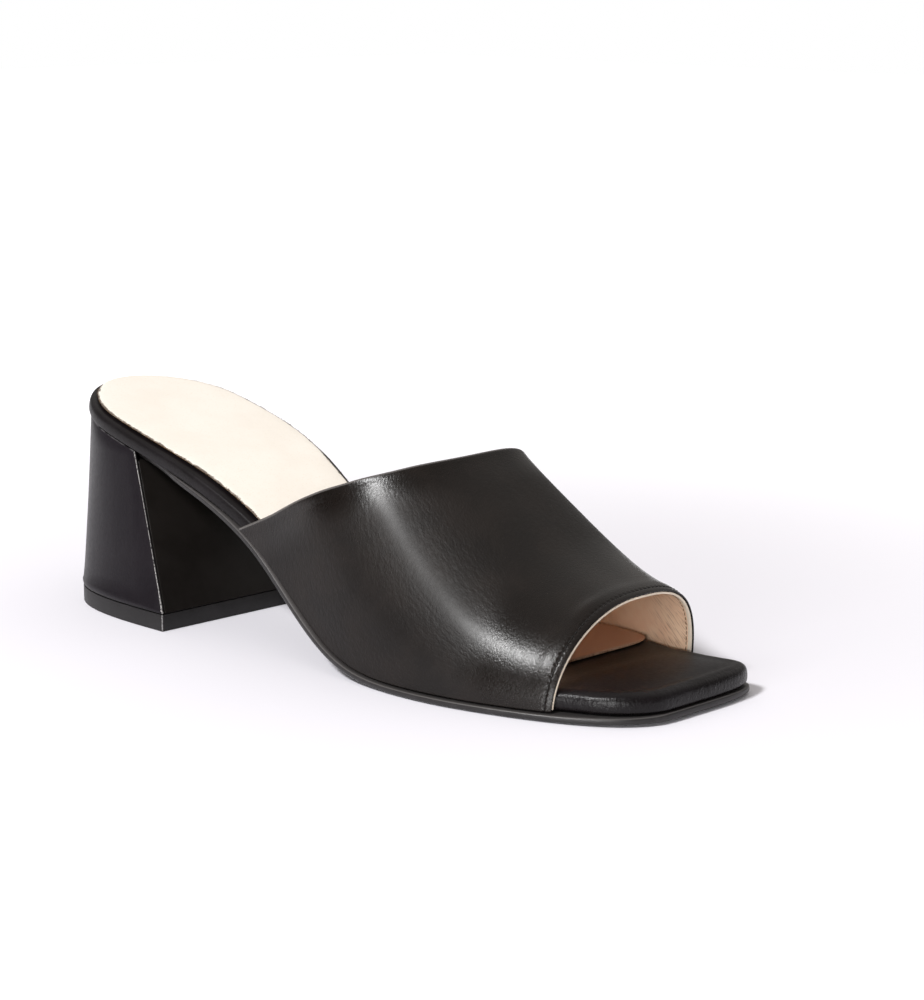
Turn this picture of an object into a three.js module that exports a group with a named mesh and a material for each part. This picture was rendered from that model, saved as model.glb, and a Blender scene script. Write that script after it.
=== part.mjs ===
// Open-toe mule on a covered block heel, for the right foot.
// Millimetres. +X is to the toe, +Y to the inner side of the foot, +Z up. The floor is z = 0.
import * as THREE from 'three';

// Driving sizes of the last and the sole
const soleLength = 245; // the sole's pattern, laid flat
const ballWidth = 78.5;
const heelRise = 56.3; // floor to the underside of the outsole at the back of the heel
const instepHeight = 65; // outsole to the ridge of the upper, where the collar crosses the instep
const instepLean = 10; // how far the ridge leans to the inner side there
const outerSideFullness = 2.6; // 2 is a plain ellipse, more is a fuller side
const innerSideFullness = 2.48;

// Driving sizes of the pieces
const clearance = 0.3; // between pieces that touch
const upperThickness = 1.6; // leather and lining
const outsoleThickness = 2.2;
const outsoleEdgeRound = 0.5;
const seatTuck = 3.2; // outsole drawn in above the heel block
const welt = 1.0; // outsole showing outside the upper at the forefoot
const footbedThickness = 4.6;
const footbedEdgeRound = 2.0;
const toePadRise = 0.8; // the bare toe end of the footbed is thicker
const toePadCrown = 1.3;
const toePadRun = 10; // length over which the pad rises
const toePadFullness = 4; // how flat the pad's crown is across
const sockThickness = 0.9;
const sockEdgeRound = 0.27;
const sockMargin = 2.2; // footbed showing round the sock, where the upper doesn't cover it
const sockUnderMargin = 0.7; // the same under the upper
const sockLength = 208; // along the pattern
const sockCorner = 9;
const sockCornerFullness = 2.2;
const sockFrontFlat = 0.74; // share of the front edge that is straight
const padGap = 6; // from the sock's front edge to where the pad starts to rise

// Driving sizes of the heel
const seatLength = 43; // heel block along the pattern, at its top
const heelBaseBack = 10; // from the back of the sole forward to the back of the base
const heelBaseDepth = 58;
const heelBaseWidth = 76;
const heelBaseFullness = 3.2;
const seatLip = 0.9; // footbed standing out over the heel's leather
const coverThickness = 1.0;
const liftThickness = 5.0;

// Fineness of the meshes
const lengthRows = 44;
const widthColumns = 6;
const heelRows = 18;
const girthSteps = 48;
const upperSteps = 16;
const profileSteps = 490;

// The sole's side profile. at: share of soleLength, height: share of heelRise
const profileRows = [
  { at: 0, height: 1 },
  { at: 0.1, height: 0.905 },
  { at: 0.2, height: 0.804 },
  { at: 0.3, height: 0.692 },
  { at: 0.4, height: 0.519 },
  { at: 0.5, height: 0.275 },
  { at: 0.55, height: 0.16 },
  { at: 0.6, height: 0.068 },
  { at: 0.65, height: 0.016 },
  { at: 0.7, height: 0 },
  { at: 0.88, height: 0 },
  { at: 1, height: 0.012 },
];

// The sole's outline on each side of its centre line. at: share of soleLength, widths: shares of ballWidth
const outlineRows = [
  { at: 0, lateral: 0.281, medial: 0.336 },
  { at: 0.12, lateral: 0.345, medial: 0.357 },
  { at: 0.25, lateral: 0.36, medial: 0.327 },
  { at: 0.4, lateral: 0.368, medial: 0.23 },
  { at: 0.52, lateral: 0.408, medial: 0.313 },
  { at: 0.64, lateral: 0.465, medial: 0.44 },
  { at: 0.76, lateral: 0.469, medial: 0.529 },
  { at: 0.88, lateral: 0.436, medial: 0.48 },
  { at: 1, lateral: 0.441, medial: 0.436 },
];

// The rounded ends of the outline. length: share of soleLength
// flat: half of the straight end, share of ballWidth
const heelEnd = { length: 0.118, fullness: 2.15 };
const toeEnds = {
  lateral: { length: 0.26, fullness: 1.95, flat: 0.05 },
  medial: { length: 0.03, fullness: 2.6, flat: 0.18 },
};

// How far the footbed's edge is drawn in, where the upper wraps it. inset: share of the room the upper needs
const wrapRows = [
  { at: 0, inset: 0 },
  { at: 0.28, inset: 0 },
  { at: 0.36, inset: 0.42 },
  { at: 0.44, inset: 0.8 },
  { at: 0.55, inset: 1 },
  { at: 0.92, inset: 1 },
  { at: 0.965, inset: 0.3 },
  { at: 1, inset: 0.15 },
];

// How far the outsole is drawn in at the heel seat. inset: share of seatTuck
const tuckRows = [
  { at: 0, inset: 1 },
  { at: 0.21, inset: 1 },
  { at: 0.27, inset: 0.12 },
  { at: 0.34, inset: 0 },
  { at: 1, inset: 0 },
];

// The footbed's edge. inset: share of footbedEdgeRound, height: share of the footbed's thickness
const footbedEdgeRows = [
  { inset: 0.3, height: 0 },
  { inset: 0, height: 0.14 },
  { inset: 0, height: 0.6 },
  { inset: 0.14, height: 0.83 },
  { inset: 0.46, height: 0.96 },
  { inset: 1, height: 1 },
];

// The upper's sections. ridge: share of instepHeight, lean: share of instepLean, arches: side roundness
const sectionRows = [
  { at: 0.39, ridge: 1.55, lean: 1.32, outerArch: 2.89, innerArch: 2.06 },
  { at: 0.49, ridge: 1.402, lean: 1.2, outerArch: 2.72, innerArch: 2.06 },
  { at: 0.566, ridge: 1.222, lean: 1.1, outerArch: 2.58, innerArch: 2.04 },
  { at: 0.64, ridge: 1, lean: 1, outerArch: 2.43, innerArch: 2.03 },
  { at: 0.705, ridge: 0.793, lean: 0.9, outerArch: 2.29, innerArch: 2.01 },
  { at: 0.775, ridge: 0.602, lean: 0.79, outerArch: 2.14, innerArch: 2 },
  { at: 0.84, ridge: 0.472, lean: 0.7, outerArch: 2, innerArch: 1.99 },
  { at: 0.91, ridge: 0.402, lean: 0.59, outerArch: 1.86, innerArch: 1.98 },
];

// Where the upper ends. lateral, ridge and medial: shares of soleLength, rise: how quickly the edge climbs
const collarEdge = { lateral: 0.39, ridge: 0.6795, medial: 0.481, rise: 0.56 };
const toeEdge = { lateral: 0.908, ridge: 0.91, medial: 0.892, rise: 1 };
const crossing = { from: 0.3, to: 0.7 }; // girth over which an edge changes sides
const slopeStep = 0.01; // share of soleLength to each side of a point, to take the ridge's slope there

// A smooth curve through the rows that never overshoots them
function gentle(rows, column) {
  const slopes = rows.slice(1).map((row, i) => (row[column] - rows[i][column]) / (row.at - rows[i].at));
  const tangents = rows.map((row, i) => {
    if (i === 0 || i === rows.length - 1) return slopes[Math.min(i, slopes.length - 1)];
    if (slopes[i - 1] * slopes[i] <= 0) return 0;
    return (2 * slopes[i - 1] * slopes[i]) / (slopes[i - 1] + slopes[i]);
  });
  return (at) => {
    let i = 0;
    while (i < rows.length - 2 && at > rows[i + 1].at) i += 1;
    const span = rows[i + 1].at - rows[i].at;
    const t = THREE.MathUtils.clamp((at - rows[i].at) / span, 0, 1);
    const blend = t * t * (3 - 2 * t);
    const leaving = t * (1 - t) ** 2 * span * tangents[i];
    const arriving = t ** 2 * (t - 1) * span * tangents[i + 1];
    return THREE.MathUtils.lerp(rows[i][column], rows[i + 1][column], blend) + leaving + arriving;
  };
}

// A natural cubic spline through the rows, for the forms that catch the light
function fair(rows, column) {
  const count = rows.length;
  const bends = new Array(count).fill(0);
  const gaps = rows.slice(1).map((row, i) => row.at - rows[i].at);
  const slopes = gaps.map((gap, i) => (rows[i + 1][column] - rows[i][column]) / gap);
  const pivots = new Array(count).fill(1);
  const sums = new Array(count).fill(0);
  for (let i = 1; i < count - 1; i += 1) {
    const carry = i > 1 ? gaps[i - 1] / pivots[i - 1] : 0;
    pivots[i] = 2 * (gaps[i - 1] + gaps[i]) - carry * gaps[i - 1];
    sums[i] = 6 * (slopes[i] - slopes[i - 1]) - carry * sums[i - 1];
  }
  for (let i = count - 2; i > 0; i -= 1) bends[i] = (sums[i] - gaps[i] * bends[i + 1]) / pivots[i];
  return (at) => {
    let i = 0;
    while (i < count - 2 && at > rows[i + 1].at) i += 1;
    const left = at - rows[i].at;
    const cubic = (bends[i + 1] - bends[i]) / (6 * gaps[i]);
    const linear = slopes[i] - (gaps[i] * (2 * bends[i] + bends[i + 1])) / 6;
    return rows[i][column] + left * (linear + left * (bends[i] / 2 + left * cubic));
  };
}

const heightAt = gentle(profileRows, 'height');
const widthAt = { lateral: fair(outlineRows, 'lateral'), medial: fair(outlineRows, 'medial') };
const wrapAt = gentle(wrapRows, 'inset');
const tuckAt = gentle(tuckRows, 'inset');
const ridgeAt = fair(sectionRows, 'ridge');
const leanAt = fair(sectionRows, 'lean');
const archAt = { lateral: fair(sectionRows, 'outerArch'), medial: fair(sectionRows, 'innerArch') };
const fullness = { lateral: outerSideFullness, medial: innerSideFullness };
const wrapRoom = welt + upperThickness + clearance;

// The profile walked in equal steps, so that the pattern keeps its length when it is bent
const profile = [{ x: 0, z: heelRise * heightAt(0) }];
for (let i = 1; i <= profileSteps; i += 1) {
  const z = heelRise * heightAt(i / profileSteps);
  const fall = z - profile[i - 1].z;
  profile.push({ x: profile[i - 1].x + Math.sqrt((soleLength / profileSteps) ** 2 - fall ** 2), z });
}

// Place and tilt of the outsole's underside at a distance along the pattern
function profileAt(along) {
  const step = (along / soleLength) * profileSteps;
  const i = THREE.MathUtils.clamp(Math.floor(step), 0, profileSteps - 1);
  const share = step - i;
  const tiltOf = (k) => {
    const a = profile[Math.max(k - 1, 0)];
    const b = profile[Math.min(k + 1, profileSteps)];
    return Math.atan2(b.z - a.z, b.x - a.x);
  };
  return {
    x: THREE.MathUtils.lerp(profile[i].x, profile[i + 1].x, share),
    z: THREE.MathUtils.lerp(profile[i].z, profile[i + 1].z, share),
    tilt: THREE.MathUtils.lerp(tiltOf(i), tiltOf(i + 1), share),
  };
}

// A pattern point { along, across, height } on the bent sole
function bend(point) {
  const place = profileAt(point.along);
  return new THREE.Vector3(
    place.x - point.height * Math.sin(place.tilt),
    point.across,
    place.z + point.height * Math.cos(place.tilt),
  );
}

const roundEnd = (t, power) => (1 - THREE.MathUtils.clamp(t, 0, 1) ** power) ** (1 / power);

function halfWidth(side, share) {
  const full = widthAt[side](share) * ballWidth;
  const heel = roundEnd((heelEnd.length - share) / heelEnd.length, heelEnd.fullness);
  const toe = toeEnds[side];
  const flat = toe.flat * ballWidth;
  const front = roundEnd((share - 1 + toe.length) / toe.length, toe.fullness);
  return share > 1 - toe.length ? flat + (full - flat) * front : full * heel;
}

// The outline as a loop of pattern points: lateral side to the toe, across its end, back on the medial side
function outlineLoop(length = soleLength, corner = 0, cornerFlat = 0.5) {
  const row = (i) => (1 - Math.cos((Math.PI * i) / lengthRows)) / 2;
  const side = (name, sign, i) => {
    const share = (row(i) * length) / soleLength;
    const turn = corner ? roundEnd((row(i) * length - length + corner) / corner, sockCornerFullness) : 1;
    const across = sign * halfWidth(name, share) * (cornerFlat + (1 - cornerFlat) * turn);
    return { along: share * soleLength, across, share };
  };
  const loop = [];
  for (let i = 0; i <= lengthRows; i += 1) loop.push(side('lateral', -1, i));
  const [a, b] = [side('lateral', -1, lengthRows), side('medial', 1, lengthRows)];
  for (let j = 1; j < widthColumns; j += 1) {
    loop.push({ ...a, across: THREE.MathUtils.lerp(a.across, b.across, j / widthColumns) });
  }
  for (let i = lengthRows; i > 0; i -= 1) loop.push(side('medial', 1, i));
  return loop;
}

// The loop moved inwards by a distance, which may change along the shoe
function drawnIn(loop, inset) {
  return loop.map((point, i) => {
    const before = loop[(i + loop.length - 1) % loop.length];
    const after = loop[(i + 1) % loop.length];
    const run = { u: after.along - before.along, v: after.across - before.across };
    const size = Math.hypot(run.u, run.v);
    const depth = typeof inset === 'function' ? inset(point.share) : inset;
    return {
      ...point,
      along: point.along - (run.v / size) * depth,
      across: point.across + (run.u / size) * depth,
    };
  });
}

const atHeight = (loop, height) => loop.map((point) => ({ ...point, height: height(point) }));

function meshFrom(name, points, faces, material) {
  const geometry = new THREE.BufferGeometry();
  const numbers = points.flatMap((point) => [point.x, point.y, point.z]);
  geometry.setAttribute('position', new THREE.Float32BufferAttribute(numbers, 3));
  geometry.setIndex(faces.flat());
  geometry.computeVertexNormals();
  const mesh = new THREE.Mesh(geometry, material);
  mesh.name = name;
  return mesh;
}

// A solid from rings that lie over each other. Its top and bottom are closed by rows across the shoe
function layered(rings, rows, columns, crown = () => 0) {
  const size = rings[0].length;
  const points = rings.flat();
  const faces = [];
  for (let k = 0; k < rings.length - 1; k += 1) {
    for (let i = 0; i < size; i += 1) {
      const a = k * size + i;
      const b = k * size + ((i + 1) % size);
      faces.push([a, b, b + size], [a, b + size, a + size]);
    }
  }
  const close = (first, top) => {
    const at = [];
    for (let i = 0; i <= rows; i += 1) {
      const left = first + i;
      const right = i === 0 ? first : first + size - i;
      at.push([]);
      for (let j = 0; j <= columns; j += 1) {
        if (i === 0 || j === 0) at[i].push(left);
        else if (i === rows) at[i].push(left + j);
        else if (j === columns) at[i].push(right);
        else {
          const share = j / columns;
          const [p, q] = [points[left], points[right]];
          const point = {};
          Object.keys(p).forEach((key) => { point[key] = THREE.MathUtils.lerp(p[key], q[key], share); });
          if (top) point.height += crown(point.share, share);
          at[i].push(points.push(point) - 1);
        }
      }
    }
    for (let i = 0; i < rows; i += 1) {
      for (let j = 0; j < columns; j += 1) {
        const [a, b, c, d] = [at[i][j], at[i + 1][j], at[i + 1][j + 1], at[i][j + 1]];
        const pair = i === 0 ? [[a, b, c]] : [[a, b, c], [a, c, d]];
        pair.forEach((face) => faces.push(top ? face : face.reverse()));
      }
    }
  };
  close(0, false);
  close((rings.length - 1) * size, true);
  return { points, faces };
}

// A solid from sections that follow each other. A section runs out along one face and back along the other
function swept(sections) {
  const size = sections[0].length;
  const points = sections.flat();
  const faces = [];
  for (let k = 0; k < sections.length - 1; k += 1) {
    for (let i = 0; i < size; i += 1) {
      const a = k * size + i;
      const b = k * size + ((i + 1) % size);
      faces.push([a, b + size, a + size], [a, b, b + size]);
    }
  }
  const last = (sections.length - 1) * size;
  for (let i = 0; i < size / 2 - 1; i += 1) {
    const [a, b, c, d] = [i, i + 1, size - 2 - i, size - 1 - i];
    faces.push([a, c, b], [a, d, c]);
    faces.push([last + a, last + b, last + c], [last + a, last + c, last + d]);
  }
  return { points, faces };
}

const finish = (color, roughness) => new THREE.MeshStandardMaterial({ color, roughness, metalness: 0 });

function soleMesh(name, rings, material, crown) {
  const { points, faces } = layered(rings, lengthRows, widthColumns, crown);
  return meshFrom(name, points.map(bend), faces, material);
}

// The outsole: thin, full length, drawn in above the heel
function makeOutsole() {
  const edge = drawnIn(outlineLoop(), (share) => seatTuck * tuckAt(share));
  const rings = [
    { inset: outsoleEdgeRound, height: 0 },
    { inset: 0, height: outsoleEdgeRound },
    { inset: 0, height: outsoleThickness - outsoleEdgeRound },
    { inset: outsoleEdgeRound / 2, height: outsoleThickness },
  ].map((ring) => atHeight(drawnIn(edge, ring.inset), () => ring.height));
  return soleMesh('outsole', rings, finish(0x2a2a2c, 0.55));
}

const footbedBottom = outsoleThickness + clearance;
const padStart = (sockLength + padGap) / soleLength;
const padEnd = padStart + toePadRun / soleLength;
const toePadAt = gentle([{ at: padStart, on: 0 }, { at: padEnd, on: 1 }, { at: 1, on: 1 }], 'on');
const footbedTop = (share) => footbedBottom + footbedThickness + toePadRise * toePadAt(share);

// The footbed: a wrapped board with a rounded edge, padded where the toes lie bare
function makeFootbed() {
  const edge = drawnIn(outlineLoop(), (share) => wrapRoom * wrapAt(share));
  const rings = footbedEdgeRows.map((ring) => atHeight(
    drawnIn(edge, ring.inset * footbedEdgeRound),
    (point) => THREE.MathUtils.lerp(footbedBottom, footbedTop(point.share), ring.height),
  ));
  const crown = (share, across) => {
    const along = THREE.MathUtils.clamp((share - padEnd) / (1 - padEnd), 0, 1);
    return toePadCrown * toePadAt(share) * (1 - along ** 3) * (1 - (2 * across - 1) ** toePadFullness);
  };
  return soleMesh('footbed', rings, finish(0x131215, 0.38), crown);
}

// The sock: the pale cover that the foot stands on, from the heel to under the toe opening
function makeSock() {
  const outline = outlineLoop(sockLength, sockCorner, sockFrontFlat);
  const edge = drawnIn(outline, (share) => (
    wrapRoom * wrapAt(share) + THREE.MathUtils.lerp(sockMargin, sockUnderMargin, wrapAt(share))));
  const bottom = footbedBottom + footbedThickness + clearance;
  const rings = [
    { inset: 0, height: bottom },
    { inset: 0, height: bottom + sockThickness - sockEdgeRound },
    { inset: sockEdgeRound, height: bottom + sockThickness },
  ].map((ring) => atHeight(drawnIn(edge, ring.inset), () => ring.height));
  return soleMesh('sock', rings, finish(0xf3e6d2, 0.8));
}

// A point of the upper's wall. girth runs from 0 at the lateral edge to 1 at the medial edge
function upperPoint(share, girth, depth) {
  const place = profileAt(share * soleLength);
  const side = girth < 0.5 ? 'lateral' : 'medial';
  const outside = wrapRoom * wrapAt(share) - clearance - upperThickness + depth;
  const [lateral, medial] = ['lateral', 'medial'].map((name) => halfWidth(name, share) - outside);
  const cosine = Math.cos(Math.PI * girth);
  const sine = Math.sin(Math.PI * girth);
  const spread = Math.sign(cosine) * Math.abs(cosine) ** (2 / fullness[side]);
  const climb = instepHeight * (ridgeAt(share + slopeStep) - ridgeAt(share - slopeStep));
  const slope = climb / (2 * slopeStep * soleLength);
  const ridge = instepHeight * ridgeAt(share) - depth * Math.hypot(1, slope + Math.tan(place.tilt));
  const base = place.z + (outsoleThickness + clearance) / Math.cos(place.tilt);
  return new THREE.Vector3(
    place.x,
    (medial - lateral) / 2 - ((medial + lateral) / 2) * spread + instepLean * leanAt(share) * sine ** 2,
    base + ridge * sine ** (2 / archAt[side](share)),
  );
}

function edgeShare(edge, girth) {
  const across = THREE.MathUtils.smoothstep(girth, crossing.from, crossing.to);
  const climb = Math.sin(Math.PI * girth) ** edge.rise;
  return THREE.MathUtils.lerp(THREE.MathUtils.lerp(edge.lateral, edge.medial, across), edge.ridge, climb);
}

// The upper: one band over the foot, open at the collar, at the toe and underneath
function makeUpper() {
  const sections = [];
  for (let k = 0; k <= girthSteps; k += 1) {
    const girth = k / girthSteps;
    const from = edgeShare(collarEdge, girth);
    const to = edgeShare(toeEdge, girth);
    const wall = (depth) => Array.from({ length: upperSteps + 1 }, (_, i) => (
      upperPoint(THREE.MathUtils.lerp(from, to, i / upperSteps), girth, depth)));
    sections.push([...wall(0), ...wall(upperThickness).reverse()]);
  }
  const { points, faces } = swept(sections);
  return meshFrom('upper', points, faces, finish(0x17161a, 0.4));
}

// The heel's outline on the floor, from the lateral breast corner round the back
function heelBasePoint(share, inset, height) {
  const angle = Math.PI * share;
  const power = 2 / heelBaseFullness;
  const back = Math.sin(angle) ** power;
  const aside = Math.sign(Math.cos(angle)) * Math.abs(Math.cos(angle)) ** power;
  const front = heelBaseBack + heelBaseDepth;
  return new THREE.Vector3(
    front - (heelBaseDepth - inset) * back,
    -(heelBaseWidth / 2 - inset) * aside,
    height,
  );
}

// The same outline at the heel seat, on the line where the outsole's underside would be at a height
function heelSeatPoint(share, inset, height) {
  const edge = drawnIn(outlineLoop(), seatLip + inset);
  const side = share < 0.5 ? edge.slice(0, lengthRows + 1) : [edge[0], ...edge.slice(-lengthRows).reverse()];
  const start = side[0].along;
  const turn = Math.abs(2 * share - 1);
  const along = start + (seatLength - start) * (1 - Math.cos((Math.PI / 2) * turn));
  let i = 0;
  while (side[i + 1].along < along) i += 1;
  const t = (along - side[i].along) / (side[i + 1].along - side[i].along);
  return { along, across: THREE.MathUtils.lerp(side[i].across, side[i + 1].across, t), height };
}

// A point of the heel's straight wall, which runs from the base to the footbed, at a height by the sole
function heelWallPoint(share, inset, height) {
  const base = heelBasePoint(share, inset, liftThickness + clearance);
  const seat = heelSeatPoint(share, inset, outsoleThickness);
  const top = bend(seat);
  const up = top.clone().sub(bend({ ...seat, height: 0 })).normalize();
  const drop = top.clone().sub(base).dot(up);
  return base.lerp(top, 1 - (outsoleThickness - height) / drop);
}

const blockInset = coverThickness + clearance;

// The rings of the heel block and its lift: back, lateral side, straight breast, medial side
function heelRing(pointAt) {
  const ring = [];
  for (let i = 0; i <= heelRows; i += 1) ring.push(pointAt(0.5 - (0.5 * i) / heelRows));
  for (let i = 0; i < heelRows; i += 1) ring.push(pointAt(1 - (0.5 * i) / heelRows));
  return ring;
}

// The heel: a flared block under the seat, its breast leaning forward
function makeHeel() {
  const rings = [
    heelRing((share) => heelBasePoint(share, blockInset, liftThickness + clearance)),
    heelRing((share) => heelWallPoint(share, blockInset, -clearance)),
  ];
  const { points, faces } = layered(rings, heelRows, 1);
  return meshFrom('heel', points, faces, finish(0x0e0d10, 0.5));
}

// The heel cover: thin leather round the block's back and sides, with its cut edges at the breast
function makeHeelCover() {
  const sections = [];
  for (let i = 0; i <= 2 * heelRows; i += 1) {
    const share = i / (2 * heelRows);
    const bottom = liftThickness + clearance;
    sections.push([
      heelBasePoint(share, 0, bottom),
      heelWallPoint(share, 0, outsoleThickness),
      heelWallPoint(share, coverThickness, outsoleThickness),
      heelBasePoint(share, coverThickness, bottom),
    ]);
  }
  const { points, faces } = swept(sections);
  return meshFrom('heel_cover', points, faces, finish(0x17161a, 0.42));
}

// The top lift: the hard wearing piece that stands on the floor
function makeTopLift() {
  const rings = [0, liftThickness].map((height) => heelRing((share) => heelBasePoint(share, 0, height)));
  const { points, faces } = layered(rings, heelRows, 1);
  return meshFrom('top_lift', points, faces, finish(0x232326, 0.6));
}

const group = new THREE.Group();
group.add(
  makeUpper(), makeFootbed(), makeSock(), makeOutsole(), makeHeel(), makeHeelCover(), makeTopLift(),
);

// The origin goes to the middle of the shoe's footprint, on the floor
const box = new THREE.Box3().setFromObject(group);
const middle = box.getCenter(new THREE.Vector3());
group.position.set(-middle.x, -middle.y, -box.min.z);

export default group;
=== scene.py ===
import math
import random

import bmesh
import bpy
from mathutils import Matrix, Vector, kdtree, noise


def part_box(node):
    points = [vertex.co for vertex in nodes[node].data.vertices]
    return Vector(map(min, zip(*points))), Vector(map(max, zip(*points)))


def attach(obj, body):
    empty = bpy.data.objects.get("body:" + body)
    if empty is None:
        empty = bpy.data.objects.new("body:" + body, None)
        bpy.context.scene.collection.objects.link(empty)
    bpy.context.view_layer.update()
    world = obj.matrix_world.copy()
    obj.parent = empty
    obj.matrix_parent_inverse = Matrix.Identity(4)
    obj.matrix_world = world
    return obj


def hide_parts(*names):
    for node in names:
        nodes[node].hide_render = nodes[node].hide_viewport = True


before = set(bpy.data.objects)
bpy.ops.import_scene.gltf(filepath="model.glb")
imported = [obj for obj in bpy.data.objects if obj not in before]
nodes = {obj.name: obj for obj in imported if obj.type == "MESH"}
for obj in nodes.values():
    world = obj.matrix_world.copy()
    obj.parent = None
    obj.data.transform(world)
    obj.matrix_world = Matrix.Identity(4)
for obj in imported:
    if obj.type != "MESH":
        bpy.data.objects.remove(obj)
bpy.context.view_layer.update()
mm = 0.001
weld = 0.002 * mm  # corners of the CAD triangles that are closer than this are one
sharpEdge = math.radians(50)  # an edge is rounded where its faces turn by more than this
sameSide = math.radians(45)  # neighbouring faces on one side of a CAD wall turn by less than this

# the look of the picture: plain colours on screen, white floor
bpy.context.scene.view_settings.view_transform = "Standard"

view = {
    "azimuth": 44.54, "elevation": 11.73, "roll": 0.26,  # degrees
    "distance": 762.3 * mm, "aim": (18.6 * mm, 16.0 * mm, 41.3 * mm),
    "lens": 96.0, "sensor": 36.0, "clip": (0.05, 20.0),
}
studio = {
    "floorSize": 6.0, "floorDrop": 0.05 * mm, "floorColour": (0.90, 0.885, 0.94),
    "floorRoughness": 0.7, "floorShine": 0.1,
    "floorGlow": 0.9, "glowFrom": 0.06, "glowTo": 0.7,  # the paper glows more the further away it is
    "lightColour": (1.0, 0.96, 0.92), "lightLow": 0.05, "lightHigh": 0.4,  # at the horizon and overhead
    "lightBehind": 0.3, "behind": (-150, 45), "behindSpread": (0.3, 0.95),  # a glow behind the shoe
    "paperSeen": 1.0, "lampsAbove": 0.03,
}
# each soft box: where it hangs round the shoe (degrees), how far, its size, its power
softBoxes = {
    "key": {"azimuth": 1, "elevation": 45, "distance": 2.2, "size": (0.34, 0.34), "watts": 44},
    "front": {"azimuth": 24, "elevation": 6, "distance": 1.6, "size": (0.8, 0.4), "watts": 14},
}


def fromAround(azimuth, elevation):
    # the direction from the shoe towards a place round it
    a, e = math.radians(azimuth), math.radians(elevation)
    return Vector((math.sin(a) * math.cos(e), -math.cos(a) * math.cos(e), math.sin(e)))


def makeCamera():
    bpy.ops.object.camera_add()
    camera = bpy.context.object
    camera.name = "camera"
    camera.data.lens = view["lens"]
    camera.data.sensor_width = view["sensor"]
    camera.data.clip_start, camera.data.clip_end = view["clip"]
    turn = Matrix.Rotation(math.radians(view["azimuth"]), 4, "Z")
    tip = Matrix.Rotation(math.radians(90 - view["elevation"]), 4, "X")
    roll = Matrix.Rotation(math.radians(view["roll"]), 4, "Z")
    place = Vector(view["aim"]) + fromAround(view["azimuth"], view["elevation"]) * view["distance"]
    camera.matrix_world = Matrix.Translation(place) @ turn @ tip @ roll
    bpy.context.scene.camera = camera


makeCamera()
print("camera placed")


# a socket of a node, with maths written as on numbers
class Wire:
    def __init__(self, owner, socket):
        self.owner, self.socket = owner, socket

    def maths(self, operation, *others):
        return self.owner.add("ShaderNodeMath", {"operation": operation}, dict(enumerate((self, *others))))

    def __add__(self, other):
        return self.maths("ADD", other)

    def __radd__(self, other):
        return self.maths("ADD", other)

    def __mul__(self, other):
        return self.maths("MULTIPLY", other)

    def __rmul__(self, other):
        return self.maths("MULTIPLY", other)

    def __sub__(self, other):
        return self.maths("SUBTRACT", other)

    def __rsub__(self, other):
        return self.owner.add("ShaderNodeMath", {"operation": "SUBTRACT"}, {0: other, 1: self})

    def between(self, low, high):
        # 0 below low, 1 above high, smooth in between
        given = {"Value": self, "From Min": low, "From Max": high}
        return self.owner.add("ShaderNodeMapRange", {"interpolation_type": "SMOOTHSTEP"}, given)


# builds nodes, in a material or in the world
class Nodes:
    def __init__(self, tree):
        self.nodes = tree.nodes
        self.links = tree.links

    def add(self, kind, settings, given, out=0):
        node = self.nodes.new(kind)
        for name, value in settings.items():
            setattr(node, name, value)
        for key, value in given.items():
            self.join(node.inputs[key], value)
        return Wire(self, node.outputs[out])

    def join(self, socket, value):
        if isinstance(value, Wire):
            self.links.new(value.socket, socket)
        else:
            socket.default_value = value


# one material
class Paint(Nodes):
    def __init__(self, name, **fixed):
        self.material = bpy.data.materials.new(name)
        self.material.use_nodes = True
        super().__init__(self.material.node_tree)
        self.shader = self.nodes["Principled BSDF"]
        for socket, value in fixed.items():
            self.shader.inputs[socket.replace("_", " ")].default_value = value
        self.place = self.add("ShaderNodeTexCoord", {}, {}, "Object")

    def split(self, vector):
        node = self.add("ShaderNodeSeparateXYZ", {}, {0: vector}).socket.node
        return [Wire(self, socket) for socket in node.outputs]

    def sheet(self):
        # where a place lies on the flat leather: along the toe edge, and back from it
        return self.add("ShaderNodeUVMap", {"uv_map": "leather"}, {})

    def stretched(self, longer, turn=(0, 0, 0), place=None):
        # a pattern made longer along each of its own axes, which are turned by some degrees first
        given = {"Vector": place or self.place, "Scale": longer, "Rotation": [math.radians(a) for a in turn]}
        return self.add("ShaderNodeMapping", {"vector_type": "TEXTURE"}, given)

    def noise(self, size, detail=2.0, roughness=0.5, place=None):
        given = {"Vector": place or self.place, "Scale": 1 / size, "Detail": detail, "Roughness": roughness}
        return self.add("ShaderNodeTexNoise", {}, given)

    def cells(self, size, place=None):
        return self.add("ShaderNodeTexVoronoi", {}, {"Vector": place or self.place, "Scale": 1 / size})

    def mix(self, factor, first, second):
        given = {0: factor, 6: first, 7: second}
        return self.add("ShaderNodeMix", {"data_type": "RGBA"}, given, 2)

    def blend(self, pattern, spread, first, second):
        # the first colour where the pattern is below the spread, the second where it is above
        return self.mix(pattern.between(*spread), rgb(*first), rgb(*second))

    def attribute(self, name, part="Fac"):
        return self.add("ShaderNodeAttribute", {"attribute_name": name}, {}, part)

    def bump(self, height, depth, below=None):
        given = {"Height": height, "Distance": depth, "Strength": 1.0}
        if below:
            given["Normal"] = below
        return self.add("ShaderNodeBump", {}, given)

    def finish(self, **given):
        for socket, value in given.items():
            self.join(self.shader.inputs[socket.replace("_", " ")], value)
        return self.material


def rgb(red, green, blue):
    return (red, green, blue, 1.0)


# millimetres. the first stitch's middle lies a number of half stitches along the line
stitching = {"inset": 2.0, "pitch": 1.6, "length": 1.25, "thick": 0.32, "sunk": 0.12, "startsAt": 1.3}

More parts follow.
